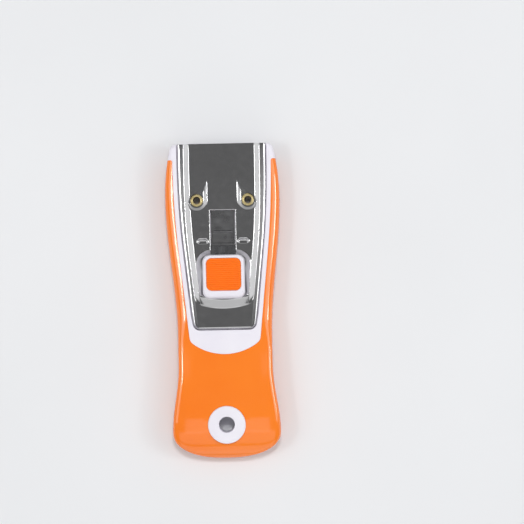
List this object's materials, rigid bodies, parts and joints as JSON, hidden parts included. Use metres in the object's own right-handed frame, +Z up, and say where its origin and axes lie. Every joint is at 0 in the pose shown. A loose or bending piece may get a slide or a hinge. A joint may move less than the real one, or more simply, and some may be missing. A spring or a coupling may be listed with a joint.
{
  "type": "razor blade scraper",
  "caption": "Flat hand scraper with a soft-grip handle, a riveted pressed-steel cover and a thumb button that slides a single-edge razor blade out of the front and locks it.",
  "frame": {"origin": "middle of the tool's length and width, on the flat sole that it lies on", "axes": "+Y towards the blade, +Z up from the sole through the cover and button, +X to the right seen from above with the blade away"},
  "size_m": [0.051, 0.14, 0.0193],
  "materials": {
    "white_plastic": "satin moulded ABS, white with a faint lavender cast",
    "orange_grip": "soft satin thermoplastic rubber",
    "orange_pad": "ribbed satin rubber",
    "chromed_plate": "bright chromium on pressed steel",
    "brass": "bright rolled brass",
    "carrier_steel": "zinc-plated pressed steel",
    "blade_steel": "ground carbon steel",
    "spine_steel": "folded mild steel",
    "spring_steel": "blued spring steel"
  },
  "bodies": {
    "handle": {"upper_shell": "white_plastic", "lower_shell": "white_plastic", "grip_overmould": "orange_grip", "cover_plate": "chromed_plate", "eyelet_left": "brass", "eyelet_right": "brass", "eyelet_washer_left": "brass", "eyelet_washer_right": "brass"},
    "carriage": {"blade_carrier": "carrier_steel", "blade": "blade_steel", "blade_spine": "spine_steel", "lock_leaf": "spring_steel", "leaf_rivet_left": "carrier_steel", "leaf_rivet_right": "carrier_steel"},
    "button": {"slide_button": "white_plastic", "button_pad": "orange_pad"}
  },
  "joints": [
    {"name": "carriage_slide", "type": "slide", "parent": "handle", "child": "carriage", "axis": [0, 1, 0], "range_m": [0, 0.014], "deforming": ["lock_leaf"]},
    {"name": "button_press", "type": "slide", "parent": "carriage", "child": "button", "axis": [0, 0, -1], "range_m": [0, 0.0007], "stiffness_N_per_m": 1500, "springref_m": -0.001, "deforming": ["lock_leaf"]}
  ]
}
